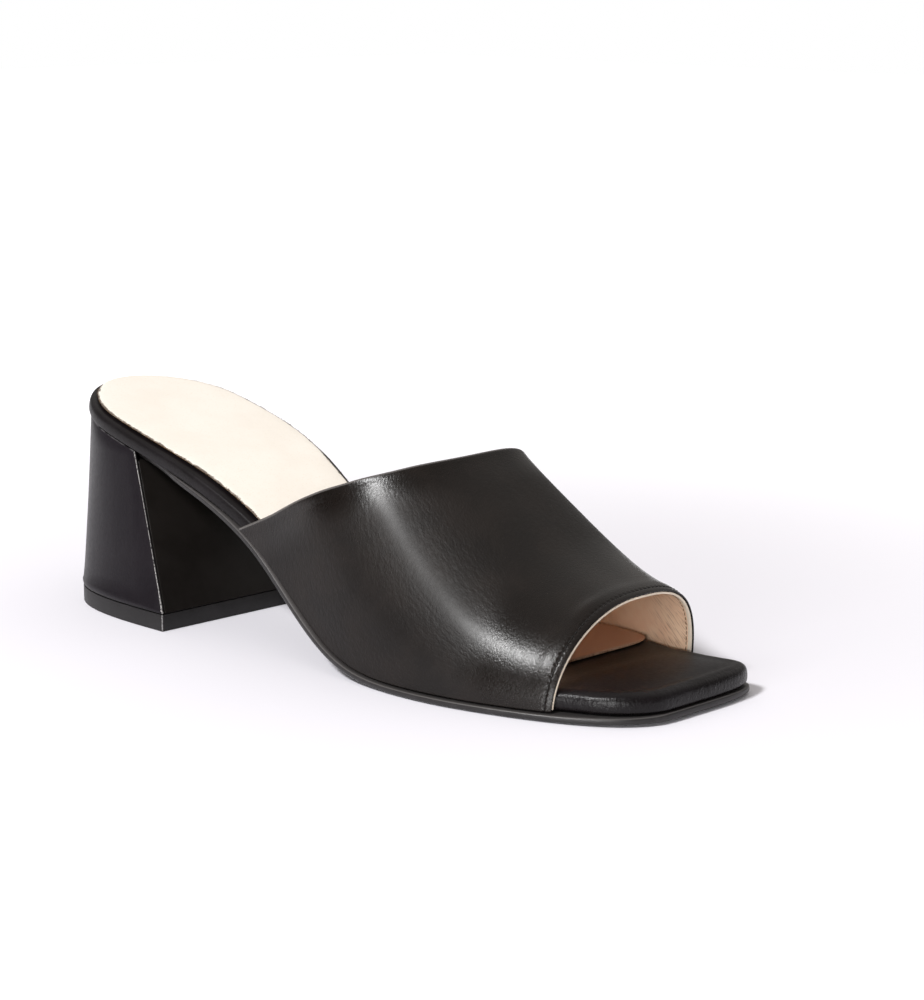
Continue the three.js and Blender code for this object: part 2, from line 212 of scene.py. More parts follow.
# in all looks: sizes, depths and reaches in millimetres, and spreads of a noise that runs from 0 to 1
leatherLook = {
    "cloud": 14, "cloudSpread": (0.35, 0.7), "cloudRough": 0.1,
    "crease": 2.4, "creaseRough": 0.2, "pebble": 0.6,  # the crease in grains
}
# the upper: puckers along the stitches, a collar edge painted lighter for wear and as a painted highlight of
# its fold, creases where the foot flexes
seamLook = {
    "puckerReach": (0.15, 0.9), "puckerDepth": 0.06, "wearAndHighlightReach": (0.45, 0.85), "wearAndHighlightShare": 0.9,
    "flexFromToe": (18, 34), "flexFromCollar": (3, 14),
    "flex": 1.1, "flexLonger": (1, 2.4, 1), "flexTurn": (0, 0, -12),
}
# the pad: small folds round its rim, which shine more
gatherLook = {"fold": 1.2, "longer": (1, 1, 1.6), "polish": 0.18}
# the heel cover: its top edge painted lighter in patches, for rubbing and as a painted highlight of the edge
rubbedAndHighlitLook = {"reach": (0.15, 0.4), "patch": 2.5, "patchSpread": (0.3, 0.6)}


def smoothLeather(name, look):
    # smooth black leather: fine pebbled grain, pulled lines, a soft gloss
    paint = Paint(name, IOR=1.5, Specular_IOR_Level=look["shine"], Coat_Roughness=look["coatRoughness"])
    place = paint.sheet() if look.get("onSheet") else paint.place
    pulled = paint.stretched(look["pull"], place=place)
    pebbles = 1 - paint.cells(look["grain"] * mm, place=pulled)
    creases = paint.noise(look["grain"] * leatherLook["crease"] * mm, detail=3.0, roughness=0.6, place=pulled)
    cloudy = paint.noise(leatherLook["cloud"] * mm, detail=3.0, roughness=0.55)
    colour = paint.blend(cloudy, leatherLook["cloudSpread"], look["dark"], look["light"])
    roughness = look["roughness"] + (cloudy - 0.5) * leatherLook["cloudRough"]
    roughness = roughness + (creases - 0.5) * leatherLook["creaseRough"]
    coat = look["coat"]
    normal = paint.bump(pebbles * leatherLook["pebble"] + creases, look["depth"] * mm)
    if look.get("seam"):
        run, away, fromCollar = paint.split(paint.attribute("seam", "Vector"))
        near = 1 - (away - stitching["inset"]).maths("ABSOLUTE").between(*seamLook["puckerReach"])
        pucker = (run * (2 * math.pi / stitching["pitch"])).maths("SINE") * near
        normal = paint.bump(pucker, seamLook["puckerDepth"] * mm, normal)
        # the collar's fold painted lighter: wear, and a painted highlight where the fold catches the light
        wearAndHighlight = (1 - fromCollar.between(*seamLook["wearAndHighlightReach"])) * seamLook["wearAndHighlightShare"]
        colour = paint.mix(wearAndHighlight, colour, rgb(*look["wearAndHighlight"]))
        middle = away.between(*seamLook["flexFromToe"]) * fromCollar.between(*seamLook["flexFromCollar"])
        roughness = roughness + middle * look["creased"]
        slanted = paint.stretched(seamLook["flexLonger"], seamLook["flexTurn"], place)
        flexed = paint.noise(seamLook["flex"] * mm, detail=3.0, roughness=0.6, place=slanted)
        normal = paint.bump(flexed * middle, look["creaseDepth"] * mm, normal)
    if look.get("gathered"):
        gathered = paint.attribute("gathered")
        tall = paint.stretched(gatherLook["longer"])
        folds = paint.noise(gatherLook["fold"] * mm, detail=4.0, roughness=0.65, place=tall)
        normal = paint.bump(folds * gathered, look["gathered"] * mm, normal)
        coat = gathered * look["coat"]
        roughness = roughness - gathered * gatherLook["polish"]
    if look.get("rim"):
        # the cover's top edge painted lighter in patches: rubbed wear and a painted highlight
        top = paint.split(paint.attribute("rims", "Vector"))[1]
        patches = paint.noise(rubbedAndHighlitLook["patch"] * mm).between(*rubbedAndHighlitLook["patchSpread"])
        colour = paint.mix((1 - top.between(*rubbedAndHighlitLook["reach"])) * patches, colour, rgb(*look["rim"]))
    return paint.finish(Base_Color=colour, Roughness=roughness, Normal=normal, Coat_Weight=coat)


blackLooks = {
    "upper_leather": {
        "grain": 0.38, "pull": (1.7, 1, 1), "depth": 0.055, "onSheet": True,
        "roughness": 0.27, "coat": 0.1, "coatRoughness": 0.25, "shine": 0.22,
        "dark": (0.0046, 0.0030, 0.0023), "light": (0.0080, 0.0054, 0.0042),
        # the collar colour: wear and a painted highlight of the fold
        "seam": True, "wearAndHighlight": (0.10, 0.092, 0.088), "creased": 0.26, "creaseDepth": 0.17},
    "footbed_leather": {
        "grain": 0.45, "pull": (1, 1, 1), "depth": 0.04,
        "roughness": 0.45, "coat": 0.1, "coatRoughness": 0.3, "shine": 0.18,
        "dark": (0.0042, 0.0030, 0.0034), "light": (0.0075, 0.0058, 0.0066), "gathered": 0.24},
    "heel_leather": {
        "grain": 0.45, "pull": (1, 1, 1), "depth": 0.025,
        "roughness": 0.42, "coat": 0.05, "coatRoughness": 0.3, "shine": 0.2,
        # the rim colour: rubbed wear and a painted highlight along the cover's top edge
        "dark": (0.0060, 0.0043, 0.0064), "light": (0.0083, 0.0063, 0.0086), "rim": (0.07, 0.066, 0.068)},
    "heel_breast": {
        "grain": 0.5, "pull": (1, 1, 4), "depth": 0.02,
        "roughness": 0.4, "coat": 0.05, "coatRoughness": 0.3, "shine": 0.22,
        "dark": (0.0070, 0.0056, 0.0048), "light": (0.0095, 0.0078, 0.0068)},
}
black = {name: smoothLeather(name, look) for name, look in blackLooks.items()}

sockLook = {
    "pale": (0.90, 0.835, 0.75), "paler": (0.94, 0.88, 0.80), "mottle": 22, "mottleSpread": (0.3, 0.7),
    "pore": 0.9, "poreSpread": (0.0, 0.35), "poreColour": (0.86, 0.78, 0.68), "poreHeight": 0.4,
    "fine": 0.5, "fineRough": 0.2, "depth": 0.03, "roughness": 0.62, "shine": 0.25,
    "tan": (0.52, 0.32, 0.22), "tanFrom": 8, "tanTo": 50, "tanWaver": 8,  # painted shade: the sock turns darker brown under the upper, where the upper shades it
    "frayed": (0.045, 0.026, 0.015), "frayReach": (0.2, 0.6), "frayShare": 0.92,
    "fray": 0.45, "frayWidth": 2.2, "frayPatch": 5, "frayPatchWidth": 1.2,
}


def sockLeather(look):
    paint = Paint("sock_leather", Specular_IOR_Level=look["shine"])
    mottle = paint.noise(look["mottle"] * mm, detail=4.0, roughness=0.6)
    fine = paint.noise(look["fine"] * mm, detail=3.0, roughness=0.6)
    pores = paint.cells(look["pore"] * mm)
    forward = paint.split(paint.place)[0]
    colour = paint.blend(mottle, look["mottleSpread"], look["pale"], look["paler"])
    colour = paint.mix(pores.between(*look["poreSpread"]), rgb(*look["poreColour"]), colour)
    # painted shade: darker brown from the heel forward under the upper, with a wavering edge
    waver = (mottle - 0.5) * look["tanWaver"] * mm
    paintedShadeMask = (forward + waver).between(look["tanFrom"] * mm, look["tanTo"] * mm)
    colour = paint.mix(paintedShadeMask, colour, rgb(*look["tan"]))
    fray = (paint.noise(look["fray"] * mm, detail=4.0, roughness=0.7) - 0.5) * look["frayWidth"]
    fray = fray + (paint.noise(look["frayPatch"] * mm) - 0.5) * look["frayPatchWidth"]
    frayed = (1 - (paint.attribute("inset") + fray).between(*look["frayReach"])) * (1 - paintedShadeMask)
    colour = paint.mix(frayed * look["frayShare"], colour, rgb(*look["frayed"]))
    normal = paint.bump(fine + pores * look["poreHeight"], look["depth"] * mm)
    roughness = look["roughness"] + (fine - 0.5) * look["fineRough"]
    return paint.finish(Base_Color=colour, Roughness=roughness, Normal=normal)


sockEdgeLook = {
    "fibre": 0.35, "longer": (1, 1, 3), "depth": 0.2, "roughness": 0.8, "shine": 0.2,
    "inkSpread": (0.42, 0.62), "ink": (0.012, 0.008, 0.006), "inkWorn": (0.20, 0.11, 0.05),
    "bareSpread": (0.35, 0.6), "bareDark": (0.30, 0.17, 0.10), "bare": (0.66, 0.47, 0.33),
    "bareFrom": 30, "bareTo": 45,  # inked along the heel, left bare in front
}


def sockEdge(look):
    paint = Paint("sock_edge", Specular_IOR_Level=look["shine"])
    tall = paint.stretched(look["longer"])
    fibre = paint.noise(look["fibre"] * mm, detail=4.0, roughness=0.7, place=tall)
    forward = paint.split(paint.place)[0]
    inked = paint.blend(fibre, look["inkSpread"], look["ink"], look["inkWorn"])
    bare = paint.blend(fibre, look["bareSpread"], look["bareDark"], look["bare"])
    colour = paint.mix(forward.between(look["bareFrom"] * mm, look["bareTo"] * mm), inked, bare)
    normal = paint.bump(fibre, look["depth"] * mm)
    return paint.finish(Base_Color=colour, Roughness=look["roughness"], Normal=normal)


liningLeatherLook = {
    "dark": (0.90, 0.61, 0.42), "light": (0.95, 0.70, 0.50), "mottle": 9, "mottleSpread": (0.3, 0.7),
    "wrinkle": 0.6, "wrinkleLonger": (9, 1, 1), "wrinkleTurn": (0, 0, -42), "wrinkleSpread": (0.34, 0.50),
    "wrinkleFrom": 9, "wrinkleTo": 22, "wrinkleDepth": 0.2,  # they fade away from the toe edge
    # the crease colour is painted shade
    "wrinkleShade": (0.48, 0.26, 0.15), "wrinkleShadeShare": 0.7,
    "edge": (0.88, 0.76, 0.62), "edgeFrom": 0.9, "edgeTo": 1.25,
    "fine": 0.45, "fineDepth": 0.03, "roughness": 0.55, "shine": 0.3,
}


def liningLeather(look):
    paint = Paint("lining", Specular_IOR_Level=look["shine"])
    back = paint.split(paint.sheet())[1]
    pulled = paint.stretched(look["wrinkleLonger"], look["wrinkleTurn"], paint.sheet())
    wrinkles = paint.noise(look["wrinkle"] * mm, place=pulled)
    fine = paint.noise(look["fine"] * mm, detail=3.0, roughness=0.6)
    mottle = paint.noise(look["mottle"] * mm, detail=3.0, roughness=0.6)
    colour = paint.blend(mottle, look["mottleSpread"], look["dark"], look["light"])
    nearToe = 1 - back.between(look["wrinkleFrom"] * mm, look["wrinkleTo"] * mm)
    # painted shade: the creases near the toe edge are darker brown, where shade falls in them
    creased = (1 - wrinkles.between(*look["wrinkleSpread"])) * nearToe
    colour = paint.mix(creased * look["wrinkleShadeShare"], colour, rgb(*look["wrinkleShade"]))
    atEdge = 1 - back.between(look["edgeFrom"] * mm, look["edgeTo"] * mm)
    colour = paint.mix(atEdge, colour, rgb(*look["edge"]))
    normal = paint.bump(wrinkles, look["wrinkleDepth"] * mm)
    normal = paint.bump(fine, look["fineDepth"] * mm, normal)
    return paint.finish(Base_Color=colour, Roughness=look["roughness"], Normal=normal)


liningEdgeLook = {
    "dark": (0.74, 0.60, 0.44), "pale": (0.90, 0.80, 0.67), "fibre": 0.6, "fibreSpread": (0.40, 0.60),
    "depth": 0.15, "roughness": 0.75, "shine": 0.2,
}


def liningEdge(look):
    # a cut edge: loose fibres, worn pale in places
    paint = Paint("lining_edge", Specular_IOR_Level=look["shine"])
    fibre = paint.noise(look["fibre"] * mm, detail=4.0, roughness=0.7)
    colour = paint.blend(fibre, look["fibreSpread"], look["dark"], look["pale"])
    normal = paint.bump(fibre, look["depth"] * mm)
    return paint.finish(Base_Color=colour, Roughness=look["roughness"], Normal=normal)


# black edges with a dotted pale line where the corner has lost its colour; on the lift this pale line is also
# a painted highlight of the corner's bevel. the fade is in bare widths
cornerLook = {
    "wear": 8, "wearSpread": (0.4, 0.7), "wearRough": 0.2, "fibre": 0.7, "fibreSpread": (0.40, 0.52),
    "fade": 1.6, "grain": 0.4, "depth": 0.03,
}
cornerLooks = {
    "cover_edge": {
        "shine": 0.2, "roughness": 0.6, "bare": 0.3, "pale": (0.42, 0.40, 0.39),
        "dark": (0.008, 0.007, 0.007), "light": (0.012, 0.011, 0.011)},
    # the lift's pale corner line: worn colour and a painted highlight of its bevel
    "top_lift": {
        "shine": 0.28, "roughness": 0.48, "bare": 0.22, "pale": (0.22, 0.21, 0.21),
        "dark": (0.0105, 0.0095, 0.0098), "light": (0.0165, 0.0150, 0.0155)},
}


def cornerEdge(name, look):
    paint = Paint(name, Specular_IOR_Level=look["shine"])
    corner = paint.split(paint.attribute("rims", "Vector"))[0]
    fibre = paint.noise(cornerLook["fibre"] * mm, detail=4.0, roughness=0.7)
    wear = paint.noise(cornerLook["wear"] * mm, detail=4.0, roughness=0.6)
    colour = paint.blend(wear, cornerLook["wearSpread"], look["dark"], look["light"])
    atCorner = 1 - corner.between(look["bare"], look["bare"] * cornerLook["fade"])
    colour = paint.mix(atCorner * fibre.between(*cornerLook["fibreSpread"]), colour, rgb(*look["pale"]))
    grain = paint.noise(cornerLook["grain"] * mm, detail=3.0, roughness=0.6)
    normal = paint.bump(grain, cornerLook["depth"] * mm)
    roughness = look["roughness"] + (wear - 0.5) * cornerLook["wearRough"]
    return paint.finish(Base_Color=colour, Roughness=roughness, Normal=normal)


outsoleLook = {
    "dark": (0.014, 0.0125, 0.0125), "light": (0.024, 0.022, 0.022),
    "scuff": 6, "scuffSpread": (0.45, 0.75), "scuffRough": 0.3, "roughness": 0.36, "shine": 0.4,
    "layer": 0.6, "layerLonger": (4, 4, 1), "layerDepth": 0.05,
    "highlitLip": (0.095, 0.088, 0.086), "highlitLipShare": 0.9,
    "highlitLipSlope": 0.72, "highlitLipWidth": 0.24,  # painted highlight: the lip is lighter where the edge turns up, by its normal's upward part
}


def paintedEdge(look):
    paint = Paint("outsole_edge", Specular_IOR_Level=look["shine"])
    flat = paint.stretched(look["layerLonger"])
    layers = paint.noise(look["layer"] * mm, detail=3.0, roughness=0.6, place=flat)
    scuffs = paint.noise(look["scuff"] * mm, detail=4.0, roughness=0.65)
    colour = paint.blend(scuffs, look["scuffSpread"], look["dark"], look["light"])
    # a painted highlight along the edge's upturned lip
    colour = paint.mix(paint.attribute("highlitLip") * look["highlitLipShare"], colour, rgb(*look["highlitLip"]))
    roughness = look["roughness"] + (scuffs - 0.5) * look["scuffRough"]
    normal = paint.bump(layers, look["layerDepth"] * mm)
    return paint.finish(Base_Color=colour, Roughness=roughness, Normal=normal)


threadLook = {"twist": 0.15, "depth": 0.05, "shaded": 0.6, "roughness": 0.6, "shine": 0.3}


def sewingThread(name, colour):
    paint = Paint(name, Specular_IOR_Level=threadLook["shine"])
    twist = paint.noise(threadLook["twist"] * mm)
    shade = paint.mix(twist, rgb(*[c * threadLook["shaded"] for c in colour]), rgb(*colour))
    normal = paint.bump(twist, threadLook["depth"] * mm)
    return paint.finish(Base_Color=shade, Roughness=threadLook["roughness"], Normal=normal)


finishes = {
    "sock": sockLeather(sockLook),
    "sockEdge": sockEdge(sockEdgeLook),
    "lining": liningLeather(liningLeatherLook),
    "liningEdge": liningEdge(liningEdgeLook),
    "coverEdge": cornerEdge("cover_edge", cornerLooks["cover_edge"]),
    "lift": cornerEdge("top_lift", cornerLooks["top_lift"]),
    "outsole": paintedEdge(outsoleLook),
    "thread": sewingThread("thread", (0.012, 0.011, 0.011)),
    "brownThread": sewingThread("brown_thread", (0.26, 0.14, 0.07)),
}
print("materials mixed")


def deselectAll():
    if bpy.context.object and bpy.context.object.mode != "OBJECT":
        bpy.ops.object.mode_set(mode="OBJECT")
    bpy.ops.object.select_all(action="DESELECT")


def pick(piece):
    deselectAll()
    piece.select_set(True)
    bpy.context.view_layer.objects.active = piece


def choose(piece, kind, test):
    # selects the faces, edges or vertices that pass the test, and opens edit mode on them
    pick(piece)
    bpy.ops.object.mode_set(mode="EDIT")
    bpy.ops.mesh.select_mode(type={"polygons": "FACE", "edges": "EDGE", "vertices": "VERT"}[kind])
    bpy.ops.mesh.select_all(action="DESELECT")
    bpy.ops.object.mode_set(mode="OBJECT")
    for part in getattr(piece.data, kind):
        part.select = test(part)
    bpy.ops.object.mode_set(mode="EDIT")


def modify(piece, kind, **settings):
    pick(piece)
    modifier = piece.modifiers.new(kind.lower(), kind)
    for name, value in settings.items():
        setattr(modifier, name, value)
    bpy.ops.object.modifier_apply(modifier=modifier.name)


def smoother(piece, levels):
    modify(piece, "SUBSURF", levels=levels, render_levels=levels)


def thicken(piece, thickness, **more):
    # gives a sheet its thickness, on the side away from its faces
    modify(piece, "SOLIDIFY", thickness=thickness * mm, offset=-1.0, use_even_offset=True, **more)


def roundEdges(piece, width, segments):
    modify(piece, "BEVEL", width=width * mm, segments=segments, limit_method="ANGLE", angle_limit=sharpEdge)


def copyOf(node, name, quads=True):
    # a copy of a CAD node's mesh, its loose triangles merged into one skin
    piece = bpy.data.objects.new(name, nodes[node].data.copy())
    bpy.context.scene.collection.objects.link(piece)
    piece.data.name = name
    piece.data.materials.clear()
    pick(piece)
    bpy.ops.object.mode_set(mode="EDIT")
    bpy.ops.mesh.select_all(action="SELECT")
    bpy.ops.mesh.remove_doubles(threshold=weld)
    if quads:
        bpy.ops.mesh.tris_convert_to_quads(face_threshold=math.pi, shape_threshold=math.pi)
    bpy.ops.object.mode_set(mode="OBJECT")
    return piece


def dress(piece, slot, *materials):
    for material in materials:
        piece.data.materials.append(material)
    pick(piece)
    bpy.ops.object.shade_smooth()
    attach(piece, "root")


upperLow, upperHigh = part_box("upper")
axisHeight = 12 * mm
upperAxis = Vector((0, (upperLow.y + upperHigh.y) / 2, axisHeight))  # runs along the shoe inside the band


def outward(place):
    spoke = place - upperAxis
    spoke.x = 0
    return spoke.normalized()


def toeEdgeOf(skin):
    # the sheet's boundary has four sharp corners. the toe edge is the side between two of them in front
    first = next(v for v in skin.verts if v.is_boundary)
    loop, before = [first], None
    while True:
        ahead = [e.other_vert(loop[-1]) for e in loop[-1].link_edges if e.is_boundary]
        new = next(v for v in ahead if v != before)
        if new == first:
            break
        before = loop[-1]
        loop.append(new)
    count = len(loop)

    def turning(k):
        a, b, c = (loop[(k + step) % count].co for step in (-1, 0, 1))
        return (b - a).angle(c - b)

    corners = sorted(sorted(range(count), key=turning)[-4:])
    sides = []
    for start, end in zip(corners, corners[1:] + corners[:1]):
        sides.append([loop[(start + n) % count] for n in range((end - start) % count + 1)])
    toe = max(sides, key=lambda side: sum(v.co.x for v in side) / len(side))
    return toe if toe[0].co.y < toe[-1].co.y else toe[::-1]


def finer(points):
    # puts a point between each two: 9/16 of both, less 1/16 of their outer neighbours, for a smooth curve
    last = len(points) - 1
    fine = [points[0]]
    for k in range(last):
        before, after = points[max(k - 1, 0)], points[min(k + 2, last)]
        fine += [(points[k] + points[k + 1]) * 0.5625 - (before + after) * 0.0625, points[k + 1]]
    return fine


def onward(v, allowed, onRim=False):
    # the allowed vertices one edge away, only along the sheet's boundary where onRim is set
    edges = [e for e in v.link_edges if e.is_boundary or not onRim]
    return [e.other_vert(v) for e in edges if e.other_vert(v) in allowed]


def wallColumns(side):
    # lines of places on one face of the upper's wall, each from the toe edge back to the collar,
    # lateral side first. side 1 is the outside, -1 the inside
    wall = copyOf("upper", "wall", quads=False)
    seed = max(wall.data.polygons, key=lambda face: face.normal.dot(outward(face.center)) * side).index
    choose(wall, "polygons", lambda face: face.index == seed)
    bpy.ops.mesh.faces_select_linked_flat(sharpness=sameSide)
    bpy.ops.mesh.select_all(action="INVERT")
    bpy.ops.mesh.delete(type="FACE")
    bpy.ops.object.mode_set(mode="OBJECT")
    skin = bmesh.new()
    skin.from_mesh(wall.data)
    rows = [toeEdgeOf(skin)]
    used = set(rows[0])
    while True:
        ahead = {e.other_vert(v) for v in rows[-1] for e in v.link_edges} - used
        if not ahead:
            break
        row = []
        found = onward(rows[-1][0], ahead, True)
        while found:
            row.append(found[0])
            used.add(found[0])
            found = onward(found[0], ahead - used)
        rows.append(row)
    fine = [finer([v.co.copy() for v in row]) for row in rows]
    skin.free()
    bpy.data.objects.remove(wall)
    return [finer(column) for column in zip(*fine)]


def along(points, distance):
    # the point at a distance along a line of points
    for a, b in zip(points, points[1:]):
        step = (b - a).length
        if distance <= step:
            return a.lerp(b, distance / step)
        distance -= step
    return points[-1].copy()


def lengthOf(points):
    return sum((b - a).length for a, b in zip(points, points[1:]))


def slideRows(columns, nearToe, collarTrim):
    # the same columns with other rows: the first lie at given distances from the toe edge, the rest evenly
    slid = []
    for column in columns:
        end = lengthOf(column) - collarTrim
        rest = len(column) - len(nearToe)
        stops = list(nearToe) + [nearToe[-1] + (end - nearToe[-1]) * (k + 1) / rest for k in range(rest)]
        slid.append([along(column, stop) for stop in stops])
    return slid


def lineAt(columns, distance):
    # a line across the sheet at a distance from its toe edge
    return [along(column, distance) for column in columns]


def widthsOf(columns):
    # how far each column lies from the lateral side
    widths = [0.0]
    for one, other in zip(columns, columns[1:]):
        widths.append(widths[-1] + sum((a - b).length for a, b in zip(one, other)) / len(one))
    return widths


def sheetFrom(name, columns, side):
    # an open sheet through the columns. it also keeps where each place lies on the flat leather, in metres
    across, back = len(columns) - 1, len(columns[0]) - 1
    deselectAll()
    bpy.ops.mesh.primitive_grid_add(x_subdivisions=across, y_subdivisions=back, calc_uvs=False)
    piece = bpy.context.object
    piece.name = piece.data.name = name
    places = [column[n] for n in range(back + 1) for column in columns]
    for v, place in zip(piece.data.vertices, places):
        v.co = place
    piece.data.update()
    middle = piece.data.polygons[len(piece.data.polygons) // 2]
    if middle.normal.dot(outward(middle.center)) * side < 0:
        choose(piece, "polygons", lambda face: True)
        bpy.ops.mesh.flip_normals()
        bpy.ops.object.mode_set(mode="OBJECT")
    widths = widthsOf(columns)
    depths = [[lengthOf(column[:n + 1]) for n in range(back + 1)] for column in columns]
    layer = piece.data.uv_layers.new(name="leather")
    for loop in piece.data.loops:
        n, k = divmod(loop.vertex_index, across + 1)
        layer.data[loop.index].uv = (widths[k], depths[k][n])
    return piece


def treeOf(places):
    tree = kdtree.KDTree(len(places))
    for k, place in enumerate(places):
        tree.insert(place, k)
    tree.balance()
    return tree


def nearTo(lines, fineness=0.1 * mm):
    # finds how far a place is from some lines of points, and how far along them that is
    dense, run = [], 0.0
    for points in lines:
        for a, b in zip(points, points[1:]):
            step = (b - a).length
            count = max(1, round(step / fineness))
            dense += [(a.lerp(b, k / count), run + step * k / count) for k in range(count + 1)]
            run += step
    tree = treeOf([place for place, _ in dense])

    def find(place):
        _, k, gap = tree.find(place)
        return gap, dense[k][1]
    return find


def insetFrom(rim):
    # finds how far inside a rim of vertices a vertex lies, seen from above, in millimetres
    tree = treeOf([(v.co.x, v.co.y, 0) for v in rim])

    def find(v):
        return tree.find((v.co.x, v.co.y, 0))[2] / mm
    return find


def mark(piece, name, measure, kind="FLOAT"):
    # writes a value at every vertex, for the material to read
    attribute = piece.data.attributes.new(name, kind, "POINT")
    for v in piece.data.vertices:
        if kind == "FLOAT":
            attribute.data[v.index].value = measure(v)
        else:
            attribute.data[v.index].vector = measure(v)


def push(piece, shift):
    # moves every vertex by what the function says, all from the same starting shape
    moved = [v.co + shift(v) for v in piece.data.vertices]
    for v, place in zip(piece.data.vertices, moved):
        v.co = place
    piece.data.update()


def ramp(value, low, high):
    share = min(1.0, max(0.0, (value - low) / (high - low)))
    return share * share * (3 - 2 * share)


def hump(value, middle, width):
    return math.exp(-((value - middle) / width) ** 2)


# millimetres along the toe edge, back from it and from the collar
upperLook = {
    "wall": 1.6, "single": 0.6, "turnedIn": 7.0,  # the wall, its share without lining, the folded collar
    "foldRound": 0.35, "grooveDepth": 0.2, "grooveWidth": 0.35, "rollDepth": 0.45, "rollReach": 2.2,
    "puff": 0.25, "puffAt": 4.6, "puffWidth": 2.0, "puffFrom": (2, 14),
    "fold": 0.5, "foldAt": (31, 5),  # a fold beside the opening
    "bead": 0.16, "beadAt": (0.9, 0.7), "unevenness": 0.14, "unevenSize": 17,
    "outwardGain": 1.5,  # how fast a surface that turns outwards takes up the relief
    "rows": (0, 0.5, 1.0, 1.4, 1.7, 2.0, 2.3, 2.7, 3.3, 4.2, 5.6, 7.5),
}


def makeUpper():
    columns = wallColumns(1)
    toeEdge = lineAt(columns, 0)
    collarEdge = [column[-1] for column in columns]
    seamLine = lineAt(columns, stitching["inset"] * mm)
    columns = slideRows(columns, [row * mm for row in upperLook["rows"]], 0)
    piece = sheetFrom("upper_leather", columns, 1)
    thick = piece.vertex_groups.new(name="thick")
    for k, column in enumerate(columns):
        for n in range(len(column)):
            turned = lengthOf(column[n:]) < upperLook["turnedIn"] * mm
            thick.add([n * len(columns) + k], 1.0 if turned else upperLook["single"], "REPLACE")
    thicken(piece, upperLook["wall"], vertex_group="thick")
    roundEdges(piece, upperLook["foldRound"], 3)
    smoother(piece, 1)
    nearToe, nearCollar = nearTo([toeEdge]), nearTo([collarEdge])

    def places(v):
        gap, run = nearToe(v.co)
        return run / mm, gap / mm, nearCollar(v.co)[0] / mm

    def shaped(v):
        run, gap, fromCollar = places(v)
        outside = min(1.0, max(0.0, v.normal.dot(outward(v.co)) * upperLook["outwardGain"]))
        groove = upperLook["grooveDepth"] * hump(gap, stitching["inset"], upperLook["grooveWidth"])
        roll = upperLook["rollDepth"] * max(0.0, 1 - gap / upperLook["rollReach"]) ** 2
        puff = upperLook["puff"] * ramp(run, *upperLook["puffFrom"])
        puff += upperLook["fold"] * hump(run, *upperLook["foldAt"])
        puff *= hump(gap, upperLook["puffAt"], upperLook["puffWidth"])
        puff += upperLook["bead"] * hump(fromCollar, *upperLook["beadAt"])
        wave = upperLook["unevenness"] * noise.noise(v.co / (upperLook["unevenSize"] * mm))
        return outward(v.co) * outside * (puff + wave - groove - roll) * mm

    mark(piece, "seam", places, "FLOAT_VECTOR")
    push(piece, shaped)
    dress(piece, "upper_leather", black["upper_leather"])
    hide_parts("upper")
    return seamLine


seamLine = makeUpper()
print("upper folded")


def makeStitches(name, line, slot, material, sink):
    # a row of stitches: one stitch, repeated along a line
    deselectAll()
    path = bpy.data.curves.new(name + "_path", "CURVE")
    path.dimensions = "3D"
    spline = path.splines.new("POLY")
    spline.points.add(len(line) - 1)
    for point, place in zip(spline.points, line):
        point.co = (*(place + outward(place) * sink * mm), 1.0)
    guide = bpy.data.objects.new(name + "_path", path)
    bpy.context.scene.collection.objects.link(guide)
    half = stitching["length"] / 2 * mm
    start = (half * stitching["startsAt"], 0, 0)
    bpy.ops.mesh.primitive_uv_sphere_add(segments=8, ring_count=6, radius=half, location=start,
                                         rotation=(0, math.pi / 2, 0))
    stitch = bpy.context.object
    stitch.name = stitch.data.name = name
    thin = stitching["thick"] / stitching["length"]
    stitch.scale = (thin, thin, 1)
    bpy.ops.object.transform_apply(location=True, rotation=True, scale=True)
    count = int((lengthOf(line) - stitching["length"] * mm) / (stitching["pitch"] * mm))
    modify(stitch, "ARRAY", fit_type="FIXED_COUNT", count=count, use_relative_offset=False,
           use_constant_offset=True, constant_offset_displace=(stitching["pitch"] * mm, 0, 0))
    modify(stitch, "CURVE", object=guide, deform_axis="POS_X")
    bpy.data.objects.remove(guide)
    dress(stitch, slot, material)


makeStitches("toe_stitches", seamLine, "thread", finishes["thread"], -stitching["sunk"])
print("toe edge stitched")

liningLook = {
    "thickness": 0.62, "edgeRound": 0.1, "toeTrim": 0.35, "collarTrim": 6.5, "sideTrim": 1.8,
    "stitchInset": 1.7, "rows": (0, 0.6, 1.2, 2.2, 4.5),
}


def makeLining():
    columns = wallColumns(-1)
    widths, side = widthsOf(columns), liningLook["sideTrim"] * mm
    columns = [column for column, width in zip(columns, widths) if side < width < widths[-1] - side]
    stitchLine = lineAt(columns, (liningLook["toeTrim"] + liningLook["stitchInset"]) * mm)
    rows = [(liningLook["toeTrim"] + row) * mm for row in liningLook["rows"]]
    columns = slideRows(columns, rows, liningLook["collarTrim"] * mm)
    piece = sheetFrom("lining", columns, -1)
    thicken(piece, liningLook["thickness"], material_offset_rim=1)
    roundEdges(piece, liningLook["edgeRound"], 2)
    smoother(piece, 1)
    dress(piece, "lining", finishes["lining"], finishes["liningEdge"])
    makeStitches("lining_stitches", stitchLine, "lining", finishes["brownThread"], 0)


makeLining()
print("lining glued in")

# heights and places along the shoe in millimetres
footbedLook = {
    "sideSlope": 0.25,  # a side is where the normal's upward part is smaller
    "flare": 1.1, "flareAt": (-62, -30, -20, -12), "flareGain": 1.4,  # the sides swell behind the upper
    "padAt": (78, 90), "padHeight": (3.5, 8.0),
    "roundReach": 2.6, "roundDrop": 0.35, "bead": 0.3, "beadAt": (2.6, 1.2),
    "fold": 0.1, "foldSize": 1.4, "foldTall": 4, "foldReach": 4, "foldHeight": (3.5, 6), "gatherReach": 3.5,
}


